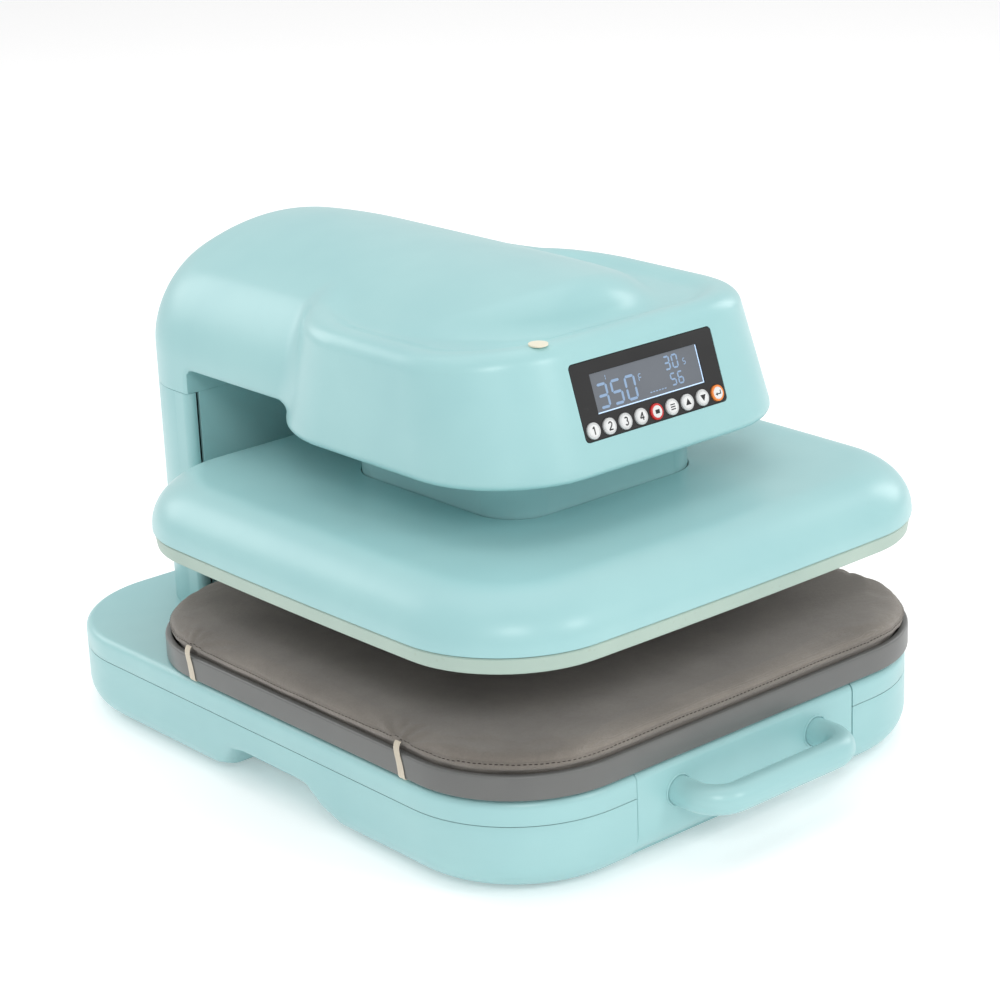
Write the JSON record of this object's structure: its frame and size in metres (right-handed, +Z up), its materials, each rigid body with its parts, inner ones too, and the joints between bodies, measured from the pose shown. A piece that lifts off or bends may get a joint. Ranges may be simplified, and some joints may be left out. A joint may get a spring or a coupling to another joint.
{
  "type": "heat press",
  "caption": "Automatic heat press with a motor-lowered square platen, a pull-out padded lower drawer, a rounded arm and head, and a button and screen panel.",
  "frame": {"origin": "on the table, under the middle of the whole outline", "axes": "+X to the operator's right, +Y to the rear, +Z up"},
  "size_m": [0.434, 0.578, 0.348],
  "materials": {
    "mint_plastic": "satin",
    "band_plastic": "satin",
    "grey_paint": "satin",
    "zinc_steel": "satin",
    "plate_aluminium": "satin",
    "bright_steel": "polished",
    "rubber_foot": "matte",
    "silicone": "matte",
    "pad_fabric": "woven, matte",
    "elastic": "woven elastic",
    "cream_plastic": "satin",
    "black_plastic": "fine grain",
    "red_plastic": "gloss",
    "black_gloss": "gloss",
    "lcd_glass": "gloss",
    "green_board": "satin",
    "motor_paint": "satin",
    "bronze": "satin",
    "fibre": "matte felt",
    "element": "oxidised",
    "nonstick_black": "matte non-stick",
    "white_button": "satin",
    "red_button": "satin",
    "orange_button": "satin"
  },
  "bodies": {
    "press_frame": {"base_bottom_shell": "mint_plastic", "base_top_shell": "mint_plastic", "chassis_plate": "zinc_steel", "rubber_feet": "rubber_foot", "foot_screws": "zinc_steel", "rail_outer": "zinc_steel", "column_frame": "zinc_steel", "column_shell": "mint_plastic", "column_front_panel": "mint_plastic", "arm_beam": "zinc_steel", "head_shell": "mint_plastic", "head_floor": "mint_plastic", "head_plug": "cream_plastic", "rear_panel": "black_plastic", "power_inlet": "black_plastic", "rocker_housing": "black_plastic", "fan_frame": "black_plastic", "display_panel": "black_gloss", "lcd_module": "lcd_glass", "display_board": "green_board", "drive_motor": "motor_paint", "drive_gearbox": "motor_paint", "guide_rods": "bright_steel", "control_board": "green_board", "power_supply": "zinc_steel"},
    "drawer": {"rail_inner": "bright_steel", "drawer_carriage": "zinc_steel", "drawer_front": "mint_plastic", "drawer_handle": "mint_plastic", "handle_screws": "zinc_steel", "tray_ring": "grey_paint", "drawer_pan": "mint_plastic", "lower_platen": "plate_aluminium", "silicone_pad": "silicone", "pad_cover": "pad_fabric", "elastic_straps": "elastic"},
    "platen": {"screw_nut": "bronze", "guide_bushings": "bronze", "lift_frame": "zinc_steel", "neck_shroud": "mint_plastic", "platen_cover": "mint_plastic", "insulation_band": "band_plastic", "insulation_pad": "fibre", "heating_element": "element", "heat_platen": "nonstick_black", "platen_screws": "zinc_steel", "thermocouple": "bronze"},
    "screw": {"lead_screw": "bright_steel"},
    "power_rocker": {"rocker": "red_plastic"},
    "fan_wheel": {"fan_rotor": "black_plastic"},
    "button_1_key": {"button_1": "white_button"},
    "button_2_key": {"button_2": "white_button"},
    "button_3_key": {"button_3": "white_button"},
    "button_4_key": {"button_4": "white_button"},
    "button_set_key": {"button_set": "white_button"},
    "button_up_key": {"button_up": "white_button"},
    "button_down_key": {"button_down": "white_button"},
    "button_stop_key": {"button_stop": "red_button"},
    "button_enter_key": {"button_enter": "orange_button"}
  },
  "joints": [
    {"name": "platen_slide", "type": "slide", "parent": "press_frame", "child": "platen", "axis": [0, 0, 1], "range_m": [-0.0455, 0]},
    {"name": "screw_spin", "type": "hinge", "parent": "press_frame", "child": "screw", "pos_m": [0, -0.0295, 0.3], "axis": [0, 0, 1], "range_deg": [-1640, 0]},
    {"name": "drawer_slide", "type": "slide", "parent": "press_frame", "child": "drawer", "axis": [0, -1, 0], "range_m": [0, 0.22]},
    {"name": "rocker_tip", "type": "hinge", "parent": "press_frame", "child": "power_rocker", "pos_m": [0.03, 0.271, 0.102], "axis": [0, 0, 1], "range_deg": [0, 12]},
    {"name": "fan_spin", "type": "hinge", "parent": "press_frame", "child": "fan_wheel", "pos_m": [0.022, 0.266, 0.148], "axis": [0, 1, 0], "continuous": true},
    {"name": "button_1_press", "type": "slide", "parent": "press_frame", "child": "button_1_key", "axis": [0, 0.9483, -0.3173], "range_m": [0, 0.0008], "stiffness_N_per_m": 400},
    {"name": "button_2_press", "type": "slide", "parent": "press_frame", "child": "button_2_key", "axis": [0, 0.9483, -0.3173], "range_m": [0, 0.0008], "stiffness_N_per_m": 400},
    {"name": "button_3_press", "type": "slide", "parent": "press_frame", "child": "button_3_key", "axis": [0, 0.9483, -0.3173], "range_m": [0, 0.0008], "stiffness_N_per_m": 400},
    {"name": "button_4_press", "type": "slide", "parent": "press_frame", "child": "button_4_key", "axis": [0, 0.9483, -0.3173], "range_m": [0, 0.0008], "stiffness_N_per_m": 400},
    {"name": "button_set_press", "type": "slide", "parent": "press_frame", "child": "button_set_key", "axis": [0, 0.9483, -0.3173], "range_m": [0, 0.0008], "stiffness_N_per_m": 400},
    {"name": "button_up_press", "type": "slide", "parent": "press_frame", "child": "button_up_key", "axis": [0, 0.9483, -0.3173], "range_m": [0, 0.0008], "stiffness_N_per_m": 400},
    {"name": "button_down_press", "type": "slide", "parent": "press_frame", "child": "button_down_key", "axis": [0, 0.9483, -0.3173], "range_m": [0, 0.0008], "stiffness_N_per_m": 400},
    {"name": "button_stop_press", "type": "slide", "parent": "press_frame", "child": "button_stop_key", "axis": [0, 0.9483, -0.3173], "range_m": [0, 0.0008], "stiffness_N_per_m": 400},
    {"name": "button_enter_press", "type": "slide", "parent": "press_frame", "child": "button_enter_key", "axis": [0, 0.9483, -0.3173], "range_m": [0, 0.0008], "stiffness_N_per_m": 400}
  ],
  "couplings": [
    {"joint": "screw_spin", "follows": "platen_slide", "rad_per_m": 628.32}
  ]
}
